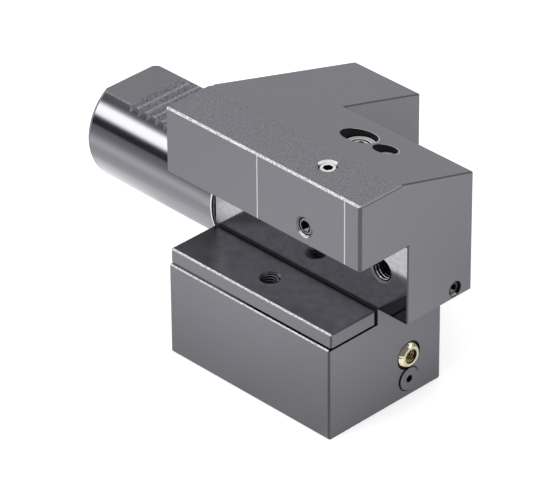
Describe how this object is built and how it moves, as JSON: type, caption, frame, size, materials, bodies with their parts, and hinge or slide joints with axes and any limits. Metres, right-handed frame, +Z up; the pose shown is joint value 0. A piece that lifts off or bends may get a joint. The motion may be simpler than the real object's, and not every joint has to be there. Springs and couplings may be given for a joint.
{
  "type": "lathe turret tool holder",
  "caption": "Axial tool holder for a lathe turret: serrated round shank, flange and overhanging jaw with a side channel where a plate clamps a square tool from below.",
  "frame": {"origin": "on the shank axis in the plane of the flange face", "axes": "+X away from the turret along the shank axis, +Z up, +Y to the rear, away from the open tool channel"},
  "size_m": [0.148, 0.085, 0.0916],
  "materials": {
    "body_steel": "dark grey nitrided steel, fine satin",
    "plate_steel": "ground and hardened steel, dark satin",
    "screw_steel": "blackened steel",
    "plug_steel": "bright turned steel",
    "spring_steel": "drawn spring wire",
    "washer_metal": "soft sealing washer",
    "ball_brass": "turned brass",
    "seal_rubber": "black nitrile rubber"
  },
  "bodies": {
    "holder": {"holder_body": "body_steel", "slope_plug": "plug_steel", "slope_plug_washer": "washer_metal", "slope_cap": "plug_steel", "shank_seal_ring": "seal_rubber", "nozzle_seal_ring": "seal_rubber", "jaw_front_plug": "screw_steel", "jaw_top_plug": "screw_steel", "end_plug": "screw_steel", "flange_plug": "screw_steel"},
    "plate": {"clamping_plate": "plate_steel", "plate_retaining_screw": "screw_steel", "plate_return_spring": "spring_steel"},
    "clamp_screw_1": {"clamp_screw_1": "screw_steel"},
    "clamp_screw_2": {"clamp_screw_2": "screw_steel"},
    "clamp_screw_3": {"clamp_screw_3": "screw_steel"},
    "clamp_screw_4": {"clamp_screw_4": "screw_steel"},
    "nozzle": {"nozzle_ball": "ball_brass"},
    "lock_screw": {"nozzle_lock_screw": "screw_steel"}
  },
  "joints": [
    {"name": "plate_slide", "type": "slide", "parent": "holder", "child": "plate", "axis": [0, 0, 1], "range_m": [0, 0.004], "stiffness_N_per_m": 3000, "springref_m": -0.002, "deforming": ["plate_return_spring"]},
    {"name": "clamp_screw_1_turn", "type": "hinge", "parent": "plate", "child": "clamp_screw_1", "pos_m": [0.008, -0.0316, -0.022], "axis": [0, 0, 1], "range_deg": [0, 960.5]},
    {"name": "clamp_screw_2_turn", "type": "hinge", "parent": "plate", "child": "clamp_screw_2", "pos_m": [0.024, -0.0316, -0.022], "axis": [0, 0, 1], "range_deg": [0, 960.5]},
    {"name": "clamp_screw_3_turn", "type": "hinge", "parent": "plate", "child": "clamp_screw_3", "pos_m": [0.046, -0.0316, -0.022], "axis": [0, 0, 1], "range_deg": [0, 960.5]},
    {"name": "clamp_screw_4_turn", "type": "hinge", "parent": "plate", "child": "clamp_screw_4", "pos_m": [0.062, -0.0316, -0.022], "axis": [0, 0, 1], "range_deg": [0, 960.5]},
    {"name": "nozzle_swivel", "type": "hinge", "parent": "holder", "child": "nozzle", "pos_m": [0.0693, -0.0067, -0.0279], "axis": [0, 1, 0], "range_deg": [-20, 20]},
    {"name": "lock_screw_turn", "type": "hinge", "parent": "holder", "child": "lock_screw", "pos_m": [0.0717, -0.0067, -0.0367], "axis": [1, 0, 0], "range_deg": [0, 360]}
  ],
  "couplings": [
    {"joint": "clamp_screw_1_turn", "follows": "plate_slide", "rad_per_m": 4188.8},
    {"joint": "clamp_screw_2_turn", "follows": "plate_slide", "rad_per_m": 4188.8},
    {"joint": "clamp_screw_3_turn", "follows": "plate_slide", "rad_per_m": 4188.8},
    {"joint": "clamp_screw_4_turn", "follows": "plate_slide", "rad_per_m": 4188.8}
  ]
}
